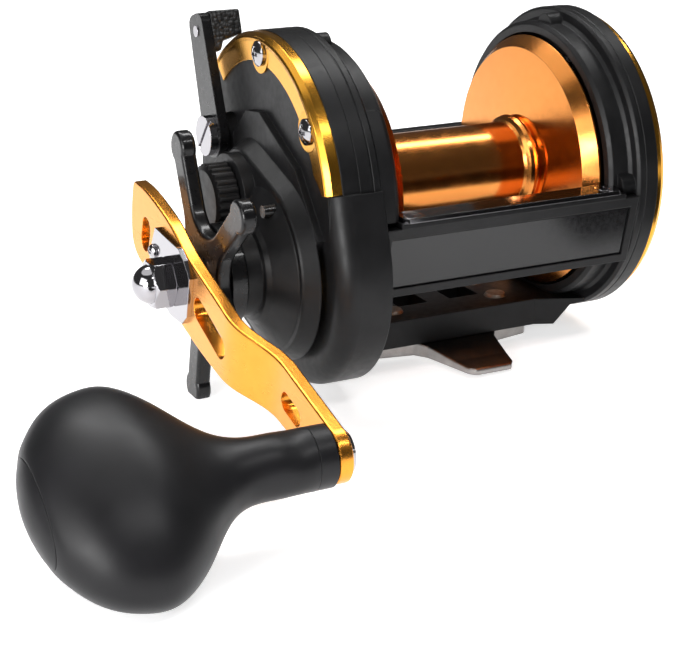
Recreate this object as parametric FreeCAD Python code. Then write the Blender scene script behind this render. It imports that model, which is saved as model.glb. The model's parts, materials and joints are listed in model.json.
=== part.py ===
import FreeCAD, Part
import math
import os
from FreeCAD import Vector

# Star-drag trolling reel, millimetres, built as an assembly.
#
# Everything is drawn about the spool's centre: X runs along the spool axis with the handle at -X,
# -Y is the side where the line leaves, +Z is up. At export each piece is lifted by SPOOL_HEIGHT,
# which puts the origin on the underside of the reel foot, below the spool's centre.

# Overall sizes
SPOOL_HEIGHT = 46.0        # foot underside to spool axis
PLATE_R = 41.0             # frame rings and side plate band
RIM_R = 40.0               # gold trim on the far side
RING_BORE_R = 34.6
COLLAR_R = 37.5            # inner collar that guards the spool flange
COLLAR_X = 30.4            # collar face, from the middle
RING_X = 36.6              # ring inner face
BAND_X = 42.6              # ring outer face
BOSS_R = 36.0              # circle of the side plate screws
GAP = 0.05                 # radial clearance of running and sliding fits

# Spool and its shaft
FLANGE_R = 33.95
FLANGE_EDGE_R = 31.05
FLANGE_X = 29.9
ARBOR_R = 11.3
SHAFT_R = 2.0
SPOOL_BORE_R = 3.0

# Handle shaft, star drag and gears
HANDLE_Y = -15.3
HANDLE_Z = -14.57
SLEEVE_R = 4.0
GEAR_MODULE = 0.65
MAIN_TEETH = 52
PINION_TEETH = 13
PRESSURE_ANGLE = 25.0
GEAR_X = -52.0             # outer face of the main gear
GEAR_WIDTH = 5.0
STAR_X = -74.2             # outer face of the star wheel
STAR_THICKNESS = 3.9
STAR_REACH = 32.0          # centre of each lobe from the shaft
STAR_ARMS = 5
STAR_FIRST_ARM = 113.0     # degrees from -Y towards +Z
STAR_EDGE_R = 1.0

# Handle arm and knob
ARM_X = -80.8              # outer face of the arm at the shaft
ARM_THICKNESS = 3.3
ARM_OFFSET = 5.0           # inward crank of the knob end
KNOB_Y = -90.0
KNOB_Z = -32.3
KNOB_FACE = ARM_X + ARM_OFFSET
KNOB_SLANT = 28.0          # degrees from +Y towards +Z of the head's long axis
BUSH_X = -80.4             # where the knob's neck meets its bush
KNOB_SECTIONS = [          # place along X, half length and half thickness of the oval
    (BUSH_X, 6.9, 6.89), (-88.0, 7.0, 6.98), (-94.0, 7.2, 7.0), (-99.0, 9.2, 7.2), (-104.0, 13.8, 8.4),
    (-109.0, 19.8, 10.5), (-114.0, 24.4, 12.7), (-119.0, 26.8, 13.9), (-124.0, 26.5, 13.8),
    (-129.0, 24.7, 12.9), (-133.5, 21.2, 11.1), (-136.5, 17.4, 9.1), (-138.6, 13.4, 7.0)]

# Handle-side cover and lever
CASE_Y = -15.0
CASE_Z = -14.0
CASE_R = 31.7
FACE_X = -50.5             # outer face of the side plate
TRIM_START = 48.0          # degrees from +Y towards +Z
TRIM_END = 167.8
TRIM_SCREW_ANGLES = (92.3, 142.7)
PLATE_SCREW_ANGLES = (300.0, 345.0)
LEVER_Y = 18.2
LEVER_Z = 12.0
LEVER_X = -56.3            # outer face of the clutch lever
LEVER_LENGTH = 31.4
LEVER_LEAN = 18.3          # degrees from +Z towards +Y

CAP_R = 9.2                # cast control cap

# Far side
FAR_SCREW_ANGLES = (91.0, 178.6, 270.0, 345.0)
FAR_SEAT_X = 44.7          # the sunk seats of the far screws


def export(name, shape):
    """Lift a piece from the spool's frame to the foot's frame and write it."""
    piece = shape.copy()
    piece.translate(Vector(0, 0, SPOOL_HEIGHT))
    piece.exportStep("parts/" + name + ".step")


def rod(x0, x1, radius, y=0.0, z=0.0):
    """A cylinder along X."""
    return Part.makeCylinder(radius, x1 - x0, Vector(x0, y, z), Vector(1, 0, 0))


def tube(x0, x1, outer, inner, y=0.0, z=0.0):
    return rod(x0, x1, outer, y, z).cut(rod(x0 - 1, x1 + 1, inner, y, z))


def cone(x0, x1, r0, r1, y=0.0, z=0.0):
    return Part.makeCone(r0, r1, x1 - x0, Vector(x0, y, z), Vector(1, 0, 0))


def block(x0, x1, y0, y1, z0, z1):
    return Part.makeBox(x1 - x0, y1 - y0, z1 - z0, Vector(x0, y0, z0))


def on_circle(radius, degrees, y=0.0, z=0.0):
    """The (y, z) point at an angle measured from +Y towards +Z."""
    angle = math.radians(degrees)
    return y + radius * math.cos(angle), z + radius * math.sin(angle)


def turned(profile, y=0.0, z=0.0, start=0.0, sweep=360.0):
    """Turn a closed (x, radius) outline about a line along X."""
    points = [Vector(x, y + r, z) for x, r in profile]
    face = Part.Face(Part.makePolygon(points + points[:1]))
    solid = face.revolve(Vector(0, y, z), Vector(1, 0, 0), sweep)
    solid.rotate(Vector(0, y, z), Vector(1, 0, 0), start)
    return solid


def slab_x(outline, x0, x1):
    """Extrude a closed (y, z) outline along X."""
    points = [Vector(x0, y, z) for y, z in outline]
    face = Part.Face(Part.makePolygon(points + points[:1]))
    return face.extrude(Vector(x1 - x0, 0, 0))


def slab_z(outline, z0, z1):
    """Extrude a closed (x, y) outline along Z."""
    points = [Vector(x, y, z0) for x, y in outline]
    face = Part.Face(Part.makePolygon(points + points[:1]))
    return face.extrude(Vector(0, 0, z1 - z0))


def mirrored(shape):
    """The same piece on the other side of the spool's middle."""
    return shape.mirror(Vector(0, 0, 0), Vector(1, 0, 0))


def teardrop(x0, x1, big, small, y, z, flare=0.0):
    """A slab that wraps a big circle at (y, z) and a small one on the spool axis.

    Both radii grow by flare from x0 to x1.
    """
    reach = math.hypot(y, z)
    along = math.atan2(-z, -y)
    lean = math.acos((big - small) / reach)
    sections = []
    for x, extra in ((x0, 0.0), (x1, flare)):
        quad = []
        for middle_y, middle_z, radius, side in (
                (y, z, big, 1), (y, z, big, -1), (0.0, 0.0, small, -1), (0.0, 0.0, small, 1)):
            angle = along + side * lean
            r = radius + extra
            quad.append(Vector(x, middle_y + r * math.cos(angle), middle_z + r * math.sin(angle)))
        sections.append(Part.makePolygon(quad + quad[:1]))
    web = Part.makeLoft(sections, True, True)
    ends = cone(x0, x1, big, big + flare, y, z).fuse(cone(x0, x1, small, small + flare))
    if flare == 0.0:
        ends = rod(x0, x1, big, y, z).fuse(rod(x0, x1, small))
    return ends.fuse(web).removeSplitter()


def largest(shape):
    """The biggest solid of a cut shape, without the crumbs."""
    return max(shape.Solids, key=lambda solid: solid.Volume)


def gear(teeth, x0, x1, y, z, tooth_angle):
    """An involute spur gear with one tooth centred on tooth_angle, in degrees."""
    pitch_r = GEAR_MODULE * teeth / 2
    base_r = pitch_r * math.cos(math.radians(PRESSURE_ANGLE))
    tip_r = pitch_r + 0.9 * GEAR_MODULE
    root_r = pitch_r - 1.2 * GEAR_MODULE
    half_tooth = math.pi / (2 * teeth) - 0.05 / pitch_r

    def flank(radius):
        """Half the tooth's angle at a radius."""
        def involute(r):
            pressure = math.acos(min(1.0, base_r / r))
            return math.tan(pressure) - pressure
        return half_tooth + involute(pitch_r) - involute(max(radius, base_r))

    start_r = max(base_r, root_r)
    radii = [start_r + (tip_r - start_r) * i / 4 for i in range(5)]
    if root_r < base_r:
        radii.insert(0, root_r)
    outline = []
    for i in range(teeth):
        middle = math.radians(tooth_angle) + 2 * math.pi * i / teeth
        for r in radii:
            outline.append((y + r * math.cos(middle - flank(r)), z + r * math.sin(middle - flank(r))))
        for r in reversed(radii):
            outline.append((y + r * math.cos(middle + flank(r)), z + r * math.sin(middle + flank(r))))
    return slab_x(outline, x0, x1)


def screw(x_seat, x_tip, y, z, head_r, head_height, shank_r, slots="cross"):
    """A screw along X: domed head beyond x_seat, shank from the seat to x_tip."""
    out = 1 if x_seat > x_tip else -1
    rim = 0.35 * head_height
    sphere_r = (head_r ** 2 + (head_height - rim) ** 2) / (2 * (head_height - rim))
    low, high = sorted((x_seat, x_seat + out * head_height))
    head = rod(low, high, head_r, y, z)
    dome_x = x_seat + out * (head_height - sphere_r)
    head = head.common(Part.makeSphere(sphere_r, Vector(dome_x, y, z)))
    low, high = sorted((x_seat + out * head_height * 0.35, x_seat + out * (head_height + 1)))
    arm = 0.55 * head_r
    blade = 0.12 * head_r
    if slots == "cross":
        head = head.cut(block(low, high, y - arm, y + arm, z - blade, z + blade))
        head = head.cut(block(low, high, y - blade, y + blade, z - arm, z + arm))
    low, high = sorted((x_seat, x_tip))
    return head.fuse(rod(low, high, shank_r, y, z)).removeSplitter()


def coil(x0, x1, y, z, radius, wire, turns):
    """A compression spring along X, built of tilted rings joined in one sweep."""
    helix = Part.makeHelix((x1 - x0) / turns, x1 - x0, radius)
    start = Vector(radius, 0, 0)
    section = Part.Wire(Part.Circle(start, Vector(0, 1, 0), wire).toShape())
    solid = Part.Wire(helix).makePipeShell([section], True, True)
    solid.rotate(Vector(0, 0, 0), Vector(0, 1, 0), 90)
    solid.translate(Vector(x0, y, z))
    return solid


# ---------------------------------------------------------------- frame

SCREW_R = 1.5
FRAME_SCREW_R = 1.0
FRAME_HEAD_R = 1.4
FRAME_HEAD_X = 41.0
FRAME_SCREWS = [(38.6, 0.15), (9.0, -38.2), (-9.0, -38.2), (-39.1, -2.5)]


def frame_screws():
    """Axial screws that hold the cross members between the two rings."""
    screws = []
    for y, z in FRAME_SCREWS:
        one = screw(FRAME_HEAD_X, 30.6, y, z, FRAME_HEAD_R, 1.4, FRAME_SCREW_R)
        screws += [one, mirrored(one)]
    return Part.makeCompound(screws)


def bar_holes(bar):
    """Tapped holes in the ends of a cross member."""
    for y, z in FRAME_SCREWS:
        for x0, x1 in ((30.4, 37.0), (-37.0, -30.4)):
            bar = bar.cut(rod(x0, x1, FRAME_SCREW_R, y, z))
    return bar


def ring_bosses(angles):
    """Round lumps on the spool side of a ring that take the side plate screws."""
    lumps = []
    for angle in angles:
        y, z = on_circle(BOSS_R + 0.8, angle)
        lumps.append(rod(32.6, RING_X, 3.1, y, z))
    return lumps


def ring_shoulder():
    """The raised shoulder on a ring's spool side, above the front panel, with its upper end rounded off."""
    profile = [
        (COLLAR_X + 1.6, RING_BORE_R), (COLLAR_X + 1.6, 39.2), (COLLAR_X + 2.0, 40.1),
        (COLLAR_X + 3.0, 40.6),
        (RING_X + 0.2, 40.6), (RING_X + 0.2, RING_BORE_R)]
    shoulder = turned(profile, start=140.0, sweep=39.5)
    y, z = on_circle(38.0, 140.0)
    outer = [edge for edge in shoulder.Edges if edge.BoundBox.XMax < COLLAR_X + 1.7]
    corner = [
        edge for edge in outer
        if math.hypot(edge.CenterOfMass.y - y, edge.CenterOfMass.z - z) < 1.5]
    return shoulder.makeFillet(3.4, corner)


def side_ring(angles, shoulder):
    """A frame ring on the +X side, with its collar, bosses, tapped holes and, on one ring, the shoulder."""
    profile = [
        (COLLAR_X, RING_BORE_R), (COLLAR_X, COLLAR_R - 0.9), (COLLAR_X + 0.9, COLLAR_R),
        (RING_X - 0.8, COLLAR_R), (RING_X, COLLAR_R + 0.8), (RING_X, PLATE_R - 0.7),
        (RING_X + 0.7, PLATE_R), (RING_X + 2.2, PLATE_R), (RING_X + 2.4, PLATE_R - 0.25),
        (RING_X + 2.6, PLATE_R), (BAND_X, PLATE_R), (BAND_X, RING_BORE_R)]
    ring = turned(profile)
    if shoulder:
        ring = ring.fuse(ring_shoulder())
    for lump in ring_bosses(angles):
        ring = ring.fuse(lump)
    ring = ring.cut(rod(COLLAR_X - 1, BAND_X + 1, RING_BORE_R))
    for angle in angles:
        y, z = on_circle(BOSS_R, angle)
        ring = ring.cut(rod(33.4, BAND_X + 1, SCREW_R, y, z))
    for y, z in FRAME_SCREWS:
        ring = ring.cut(rod(RING_X - 1, BAND_X + 1, FRAME_SCREW_R, y, z))
        ring = ring.cut(rod(FRAME_HEAD_X, BAND_X + 1, FRAME_HEAD_R + 0.1, y, z))
    return ring.removeSplitter()


def front_panel(rings):
    """The flat-faced front cross member, with a ledge for the deck and a recess for the inset."""
    wall = slab_x([(-41.7, -1.2), (-37.4, -19.5), (-34.9, -18.9), (-38.3, -1.2)], -RING_X, RING_X)
    ledge = block(-32.3, 32.3, -41.9, -34.7, -1.2, 0.0)
    panel = wall.fuse(ledge)
    for x in (-28.3, 28.3):
        panel = panel.fuse(block(x - 3, x + 3, -41.0, -36.2, -6.0, -1.2))
    panel = panel.cut(panel_recess(-34.6, 34.6, 3.9, 17.3, 1.3))
    for ring in rings:
        panel = panel.cut(ring)
    for x in (-28.3, 28.3):
        panel = panel.cut(Part.makeCylinder(1.2, 6.0, Vector(x, -38.6, -3.8)))
    return largest(bar_holes(panel).removeSplitter())


def panel_recess(x0, x1, top, bottom, depth):
    """A shallow box let into the panel's sloping face, measured down from the spool axis."""
    slope = (41.7 - 37.4) / (19.5 - 1.2)
    top_y = -41.7 + slope * (top - 1.2)
    bottom_y = -41.7 + slope * (bottom - 1.2)
    outline = [
        (top_y - 1, -top), (bottom_y - 1, -bottom), (bottom_y + depth, -bottom), (top_y + depth, -top)]
    return slab_x(outline, x0, x1)


def panel_inset():
    """A plain plate that fills the panel's recess and stands just below its rim."""
    slope = (41.7 - 37.4) / (19.5 - 1.2)
    top, bottom, low, high = 4.1, 17.1, 0.5, 1.3
    top_y = -41.7 + slope * (top - 1.2)
    bottom_y = -41.7 + slope * (bottom - 1.2)
    outline = [
        (top_y + low, -top), (bottom_y + low, -bottom), (bottom_y + high, -bottom), (top_y + high, -top)]
    return slab_x(outline, -34.4, 34.4)


def deck_plate(rings):
    """The polished strip on top of the front panel, where the line leaves."""
    outline = [
        (-31.4, -34.9), (31.4, -34.9), (31.4, -40.6), (30.2, -42.0), (-30.2, -42.0), (-31.4, -40.6)]
    plate = slab_z(outline, 0.0, 1.2)
    for x in (-28.3, 28.3):
        plate = plate.cut(Part.makeCone(1.25, 3.15, 1.2, Vector(x, -38.6, 0.0)))
    for ring in rings:
        plate = plate.cut(ring)
    return largest(plate)


def deck_screws():
    """Two countersunk cross-head screws, flush with the deck plate."""
    screws = []
    for x in (-28.3, 28.3):
        body = Part.makeCone(1.2, 2.95, 1.15, Vector(x, -38.6, 0.03))
        body = body.fuse(Part.makeCylinder(1.15, 3.7, Vector(x, -38.6, -3.6)))
        body = body.cut(block(x - 1.6, x + 1.6, -38.9, -38.3, 0.6, 2.0))
        body = body.cut(block(x - 0.3, x + 0.3, -40.2, -37.0, 0.6, 2.0))
        screws.append(body)
    return Part.makeCompound(screws)


def rear_bar(rings):
    """The rear cross bar, with eased edges."""
    outline = [
        (35.6, -1.6), (36.4, -2.4), (39.6, -2.4), (40.4, -1.6),
        (40.4, 1.8), (39.4, 2.7), (36.6, 2.7), (35.6, 1.8)]
    bar = slab_x(outline, -RING_X, RING_X)
    for ring in rings:
        bar = bar.cut(ring)
    return largest(bar_holes(bar).removeSplitter())


FOOT_TOP = -42.4
BAR_TOP = -35.1
FOOT_RIVETS = [(x, y) for x in (-16.0, 16.0) for y in (-6.5, 6.5)]


def bottom_bar(rings):
    """The bottom cross member that carries the foot, with two lightening windows."""
    outline = [
        (-RING_X, -19.5), (-24.0, -14.2), (24.0, -14.2), (RING_X, -19.5),
        (RING_X, 19.5), (24.0, 14.2), (-24.0, 14.2), (-RING_X, 19.5)]
    bevel = turned([
        (-RING_X, 0.0), (-RING_X, PLATE_R), (-33.0, PLATE_R), (-27.5, 47.0), (27.5, 47.0), (33.0, PLATE_R),
        (RING_X, PLATE_R), (RING_X, 0.0)])
    bar = slab_z(outline, FOOT_TOP, BAR_TOP).common(bevel)
    for x0, x1 in ((-12.4, -3.4), (3.4, 12.4)):
        bar = bar.cut(block(x0, x1, -3.5, 7.5, FOOT_TOP - 1, BAR_TOP + 1))
    for x, y in FOOT_RIVETS:
        bar = bar.cut(Part.makeCylinder(2.02, 10.0, Vector(x, y, -43.0)))
    for ring in rings:
        bar = bar.cut(ring)
    y, z = on_circle(BOSS_R, 270.0)
    bar = bar.cut(rod(33.4, RING_X, SCREW_R, y, z))
    return largest(bar_holes(bar).removeSplitter())


def reel_foot():
    """The steel foot: a cross-shaped plate whose two tongues thin out towards the rod seat's hoods."""
    side = [
        (-33.0, -46.0), (33.0, -46.0), (33.0, -44.7), (32.2, -44.5), (26.0, -44.0), (13.2, FOOT_TOP - 0.02),
        (-13.2, FOOT_TOP - 0.02), (-26.0, -44.0), (-32.2, -44.5), (-33.0, -44.7)]
    plate = slab_x(side, -26.0, 26.0)
    plan = [
        (-5.2, -33.0), (5.2, -33.0), (6.6, -31.4), (10.2, -16.0), (12.5, -12.6), (23.0, -10.6),
        (24.4, -9.0), (24.4, 9.0), (23.0, 10.6), (12.5, 12.6), (10.2, 16.0), (6.6, 31.4), (5.2, 33.0),
        (-5.2, 33.0), (-6.6, 31.4), (-10.2, 16.0), (-12.5, 12.6), (-23.0, 10.6), (-24.4, 9.0),
        (-24.4, -9.0), (-23.0, -10.6), (-12.5, -12.6), (-10.2, -16.0), (-6.6, -31.4)]
    foot = plate.common(slab_z(plan, -48.0, -38.0))
    for x, y in FOOT_RIVETS:
        foot = foot.cut(Part.makeCylinder(2.02, 10.0, Vector(x, y, -47.0)))
    return foot


def foot_rivets():
    """Four solid rivets through the bottom bar and the foot."""
    rivets = []
    for x, y in FOOT_RIVETS:
        head = Part.makeCone(3.1, 2.6, 0.8, Vector(x, y, BAR_TOP))
        rivets.append(head.fuse(Part.makeCylinder(2.0, 10.9, Vector(x, y, -46.0))))
    return Part.makeCompound(rivets)


# ---------------------------------------------------------------- handle-side cover

SKIRT_X = -37.2
SKIRT_TOP = (-41.3, 8.8)
POST_POINTS = [(24.5, -11.0), (5.0, 26.5), (-26.5, 12.5)]
YOKE_POINTS = [(9.5, -9.0), (-9.5, 9.0)]


def skirt_section(angle, inner_r):
    """The skirt's section through the case axis: a flat inner end and a broad round at the outer face."""
    round_r = 5.0
    step = round_r * math.sqrt(0.5)

    def point(x, r):
        y, z = on_circle(r, angle, CASE_Y, CASE_Z)
        return Vector(x, y, z)

    corner_x, corner_r = FACE_X + round_r, CASE_R - round_r
    inner_start, inner_end = point(SKIRT_X, inner_r), point(SKIRT_X, CASE_R)
    arc_start, arc_end = point(corner_x, CASE_R), point(FACE_X, corner_r)
    outer_end = point(FACE_X, inner_r)
    arc = Part.Arc(arc_start, point(corner_x - step, corner_r + step), arc_end).toShape()
    return Part.Face(Part.Wire([
        Part.makeLine(inner_start, inner_end), Part.makeLine(inner_end, arc_start), arc,
        Part.makeLine(arc_end, outer_end), Part.makeLine(outer_end, inner_start)]))


def skirt():
    """The gear case's rounded wall, which runs on past the rim and straight up to the gold trim."""
    centre = Vector(0, CASE_Y, CASE_Z)
    case = skirt_section(0.0, 0.0).revolve(centre, Vector(1, 0, 0), 360)
    reach = math.hypot(SKIRT_TOP[0] - CASE_Y, SKIRT_TOP[1] - CASE_Z)
    toward = math.atan2(SKIRT_TOP[1] - CASE_Z, SKIRT_TOP[0] - CASE_Y)
    tangent = toward + math.acos(CASE_R / reach)
    foot_y = CASE_Y + CASE_R * math.cos(tangent)
    foot_z = CASE_Z + CASE_R * math.sin(tangent)
    along = Vector(0, SKIRT_TOP[0] - foot_y, SKIRT_TOP[1] - foot_z)
    angle = math.degrees(tangent)
    return case.fuse(skirt_section(angle, 16.0).extrude(along))


def cover_outside():
    """Band, face, gear case, raised plateaus, cap boss and lever boss as one solid."""
    cover = rod(-47.2, -BAND_X, PLATE_R)
    cover = cover.fuse(rod(FACE_X, -47.2, 39.6))
    cover = cover.fuse(skirt().cut(rod(-BAND_X, -30.0, PLATE_R + 0.02)))
    ridge = [
        (-3.5, 21.9), (4.5, 20.8), (20.4, 7.1), (10.0, -10.0), (-15.0, -30.0), (-37.0, -3.0), (-24.4, 11.9)]
    cover = cover.fuse(slab_x(ridge, -52.4, FACE_X))
    cover = cover.fuse(teardrop(-56.0, -52.4, 21.9, 12.3, HANDLE_Y, HANDLE_Z, 2.0))
    cover = cover.fuse(teardrop(-56.4, -56.0, 21.5, 11.9, HANDLE_Y, HANDLE_Z, 0.4))
    hub = turned([
        (-56.0, 0.0), (-56.0, 20.6), (-56.6, 20.0), (-60.6, 13.6), (-61.6, 12.5), (-61.9, 11.3),
        (-65.7, 11.3),
        (-66.0, 11.0), (-66.0, 0.0)], HANDLE_Y, HANDLE_Z)
    cover = cover.fuse(hub)
    cover = cover.fuse(rod(-59.6, -56.0, 11.2))
    cover = cover.cut(rod(-67.0, -59.7, CAP_R + 0.5)).fuse(rod(-64.4, -59.6, 7.0))
    cover = cover.fuse(rod(-53.4, FACE_X, 5.5, LEVER_Y, LEVER_Z))
    return cover.removeSplitter()


def cover_inside():
    """The hollows of the cover: gear train, drag stack, clutch and the bearing seats."""
    hollow = rod(-48.6, -BAND_X + 1, 34.3)
    hollow = hollow.fuse(rod(-54.0, -BAND_X + 1, 19.4, HANDLE_Y, HANDLE_Z))
    hollow = hollow.fuse(rod(-58.6, -53.0, 13.2, HANDLE_Y, HANDLE_Z))
    hollow = hollow.fuse(rod(-65.0, -58.0, 8.0, HANDLE_Y, HANDLE_Z))
    hollow = hollow.fuse(rod(-67.0, -64.0, 6.0, HANDLE_Y, HANDLE_Z))
    hollow = hollow.fuse(rod(-56.4, -48.0, 6.0)).fuse(rod(-60.4, -56.0, 5.0)).fuse(rod(-66.0, -60.0, 3.0))
    hollow = hollow.fuse(rod(-54.0, -48.0, 2.05, LEVER_Y, LEVER_Z))
    return hollow


def trim_outline():
    return [
        (-47.2, 40.8), (-49.8, 40.8), (-51.0, 39.9), (-51.2, 39.2), (-51.0, 38.4), (-50.8, 33.7), (-47.2, 33.7)]


def handle_side_trim():
    """The gold arc on the handle-side rim, with a lobe round each screw."""
    sweep = TRIM_END - TRIM_START
    trim = turned(trim_outline(), start=TRIM_START, sweep=sweep)
    for angle in TRIM_SCREW_ANGLES:
        y, z = on_circle(BOSS_R, angle)
        lobe = rod(-51.0, FACE_X, 4.9, y, z).common(rod(-52.0, -50.0, 40.0))
        trim = trim.fuse(lobe)
    for angle in TRIM_SCREW_ANGLES:
        y, z = on_circle(BOSS_R, angle)
        trim = trim.cut(rod(-53.0, -46.0, SCREW_R + 0.05, y, z)).cut(rod(-53.0, -51.0, 3.3, y, z))
    trim = trim.cut(rod(-52.0, -30.0, CASE_R - 0.98, CASE_Y, CASE_Z))
    return largest(trim.removeSplitter())


def handle_side_plate():
    """The moulded cover with its gear case."""
    cover = cover_outside().cut(cover_inside())
    for y, z in POST_POINTS:
        cover = cover.fuse(rod(-49.0, -41.05, 2.8, y, z))
    arc = turned([(-52.0, 42.0), (-47.2, 42.0), (-47.2, 33.7), (-52.0, 33.7)], start=TRIM_START - 0.2,
                 sweep=TRIM_END - TRIM_START + 0.4)
    case_keep = rod(-52.0, -30.0, CASE_R - 1.0, CASE_Y, CASE_Z)
    cover = cover.cut(arc.cut(case_keep))
    cover = cover.fuse(rod(FACE_X, -47.2, 33.68).cut(cover_inside()))
    for angle in TRIM_SCREW_ANGLES + PLATE_SCREW_ANGLES:
        y, z = on_circle(BOSS_R, angle)
        cover = cover.cut(rod(-53.0, -BAND_X + 1, SCREW_R + 0.05, y, z))
    for y, z in POST_POINTS:
        cover = cover.cut(rod(-46.0, -40.0, 1.2, y, z))
    return cover.removeSplitter()


def plate_screws(angles, x_seat, x_tip, head_r=3.2, head_height=1.7):
    heads = []
    for angle in angles:
        y, z = on_circle(BOSS_R, angle)
        heads.append(screw(x_seat, x_tip, y, z, head_r, head_height, SCREW_R - 0.02))
    return Part.makeCompound(heads)


def oil_port_plug():
    """The small tapered plug that closes the oil port of the gear case."""
    y, z = -22.2, 1.8
    return cone(-60.0, -56.6, 1.6, 1.9, y, z).cut(cover_outside())


# ---------------------------------------------------------------- bridge and clutch

def bridge_plate():
    """The inner plate that holds the gear post, the clutch posts and the dog pivot."""
    plate = rod(-41.0, -38.6, 34.2)
    plate = plate.cut(rod(-42.0, -38.0, 4.9))
    plate = plate.fuse(rod(-48.4, -41.0, 2.0, HANDLE_Y, HANDLE_Z))
    for y, z in YOKE_POINTS:
        plate = plate.fuse(rod(-48.4, -41.0, 1.0, y, z))
    dog_y, dog_z = DOG_PIVOT
    plate = plate.fuse(rod(-43.8, -41.0, 1.0, dog_y, dog_z))
    for y, z in POST_POINTS:
        plate = plate.cut(rod(-42.0, -38.0, 1.25, y, z))
    return plate.removeSplitter()


def bridge_screws():
    return Part.makeCompound([screw(-38.6, -45.0, y, z, 2.4, 1.3, 1.15) for y, z in POST_POINTS])


def clutch_yoke():
    """The plate that carries the pinion along its axis, open like a fork on the main gear's side."""
    (ay, az), (by, bz) = YOKE_POINTS
    length = math.hypot(ay - by, az - bz)
    uy, uz = (ay - by) / length, (az - bz) / length
    half = 2.9
    outline = [
        (ay + half * uz, az - half * uy), (by + half * uz, bz - half * uy),
        (by - half * uz, bz + half * uy), (ay - half * uz, az + half * uy)]
    yoke = slab_x(outline, -45.8, -44.2)
    for y, z in YOKE_POINTS:
        yoke = yoke.fuse(rod(-45.8, -44.2, half, y, z))
    yoke = yoke.fuse(rod(-45.8, -44.2, 6.0))
    yoke = yoke.fuse(rod(-45.8, -44.2, 3.2, 8.6, -3.0))
    yoke = yoke.cut(rod(-46.0, -44.0, 3.0))
    yoke = yoke.cut(rod(-46.0, -44.0, 18.6, HANDLE_Y, HANDLE_Z))
    for y, z in YOKE_POINTS:
        yoke = yoke.cut(rod(-46.0, -44.0, 1.0 + GAP, y, z))
    return yoke.removeSplitter()


def yoke_springs():
    return Part.makeCompound([coil(-48.2, -46.1, y, z, 1.7, 0.22, 3) for y, z in YOKE_POINTS])


def clutch_cam():
    """The cam finger on the lever's shaft, which reaches in under the yoke when the lever is pushed."""
    hub = rod(-43.6, -41.3, 4.0, LEVER_Y, LEVER_Z)
    shaft = rod(-53.6, -43.0, 2.0, LEVER_Y, LEVER_Z)
    finger = block(-43.6, -41.3, 0.0, 15.6, -1.8, 1.8).fuse(rod(-43.6, -41.3, 1.8, 15.6, 0.0))
    finger.rotate(Vector(0, 0, 0), Vector(1, 0, 0), 278)
    finger.translate(Vector(0, LEVER_Y, LEVER_Z))
    return hub.fuse(finger).fuse(shaft).removeSplitter()


# ---------------------------------------------------------------- spool and pinion

def spool():
    """Machined spool: conical flanges with a bevelled rim, a bead and a hollow arbor."""
    half = [
        (0.0, ARBOR_R), (21.0, ARBOR_R), (21.6, 11.8), (22.4, 12.7), (23.4, 13.0), (24.3, 12.7),
        (24.9, 12.2),
        (26.1, FLANGE_EDGE_R), (29.4, FLANGE_R), (FLANGE_X, FLANGE_R), (FLANGE_X, 30.6), (28.4, 29.6),
        (28.4, 9.0), (33.6, 8.0), (33.6, SPOOL_BORE_R + 0.02)]
    outline = half + [(-x, r) for x, r in reversed(half)]
    body = turned(outline)
    cavity = turned([(-22.0, 5.2), (30.0, 5.2), (30.0, 7.0), (26.0, 9.2), (-22.0, 9.2)])
    return body.cut(cavity.cut(turned([(24.0, 0.0), (34.0, 0.0), (34.0, 12.0), (24.0, 12.0)])))


def spool_shaft():
    """The shaft with a drive tongue for the pinion and two bearing journals."""
    shaft = rod(-33.6, 33.6, SPOOL_BORE_R).fuse(rod(-62.6, 48.2, SHAFT_R))
    tongue = block(-38.9, -36.6, -3.6, 3.6, -1.0, 1.0)
    return shaft.fuse(tongue).removeSplitter()


def clicker_ratchet():
    """The toothed wheel on the spool's far end that the clicker tongue rides over."""
    teeth = 20
    outline = []
    for i in range(teeth):
        base = 360.0 * i / teeth
        outline.append(on_circle(9.2, base - 4.5))
        outline.append(on_circle(10.8, base - 1.2))
        outline.append(on_circle(10.8, base + 1.2))
        outline.append(on_circle(9.2, base + 4.5))
    return slab_x(outline, 34.0, 36.0).cut(rod(33.0, 37.0, SHAFT_R + 0.01))


def pinion_gear():
    """The sliding pinion: teeth, a neck for the yoke and a slotted drive end."""
    along = math.degrees(math.atan2(-HANDLE_Z, -HANDLE_Y))
    gap_angle = along + 180.0 + 180.0 / PINION_TEETH
    body = gear(PINION_TEETH, -53.6, -46.2, 0.0, 0.0, gap_angle)
    body = body.fuse(rod(-46.2, -43.8, 2.9)).fuse(rod(-43.8, -37.4, 4.6))
    body = body.cut(rod(-54.0, -37.0, SHAFT_R + GAP))
    slot = block(-39.1, -37.0, -5.0, 5.0, -1.0 - GAP, 1.0 + GAP)
    return body.cut(slot).removeSplitter()


def bearing(x0, x1, outer, inner):
    """A ball bearing's rings, shields and cage as one turned body with shield grooves."""
    body = tube(x0, x1, outer, inner)
    middle = (outer + inner) / 2
    for low, high in ((x0 - 0.1, x0 + 0.25), (x1 - 0.25, x1 + 0.1)):
        body = body.cut(tube(low, high, middle + 0.9, middle - 0.9))
    return body


# ---------------------------------------------------------------- handle shaft and drag

def handle_shaft():
    """The gear sleeve: a hollow shaft with a square end for the arm and a thread for the nut."""
    shaft = rod(-77.4, -41.9, SLEEVE_R, HANDLE_Y, HANDLE_Z)
    shaft = shaft.fuse(arm_square(-82.0, -77.4, 0.0))
    shaft = shaft.fuse(rod(-88.6, -82.0, 3.0, HANDLE_Y, HANDLE_Z))
    shaft = shaft.fuse(rod(-47.0, -45.6, 6.0, HANDLE_Y, HANDLE_Z))
    return shaft.cut(rod(-49.0, -41.0, 2.0 + GAP, HANDLE_Y, HANDLE_Z)).removeSplitter()


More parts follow.
